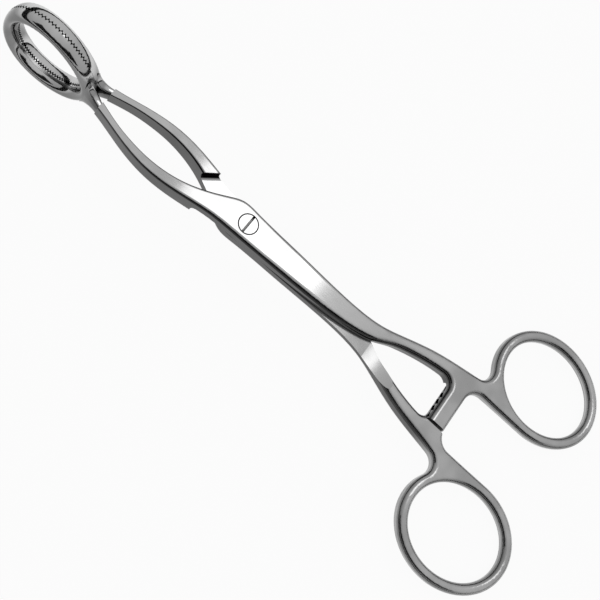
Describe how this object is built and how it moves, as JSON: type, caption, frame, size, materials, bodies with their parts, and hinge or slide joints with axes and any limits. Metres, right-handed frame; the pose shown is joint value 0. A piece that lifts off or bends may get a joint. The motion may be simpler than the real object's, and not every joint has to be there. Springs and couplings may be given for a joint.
{
  "type": "tongue seizing forceps",
  "caption": "Ring handled surgical holding forceps with oval open jaws, serrated facing rims, a slotted screw lap joint and a toothed ratchet.",
  "frame": {"origin": "on the pivot axis, on the flat back face of the joint, where the screw ends flush", "axes": "+X from the jaws to the finger rings, +Y to the side of the upper half's handle, +Z along the pivot screw to its slotted head"},
  "size_m": [0.1699, 0.0716, 0.024],
  "materials": {
    "polished_steel": "forged stainless steel, polished bright",
    "screw_steel": "turned stainless steel, ground flush and polished"
  },
  "bodies": {
    "lower": {"lower_half": "polished_steel", "pivot_screw": "screw_steel"},
    "upper": {"upper_half": "polished_steel"}
  },
  "joints": [
    {"name": "lap_joint", "type": "hinge", "parent": "lower", "child": "upper", "pos_m": [0, 0, 0.0029], "axis": [0, 0, 1], "range_deg": [0, 40]}
  ]
}
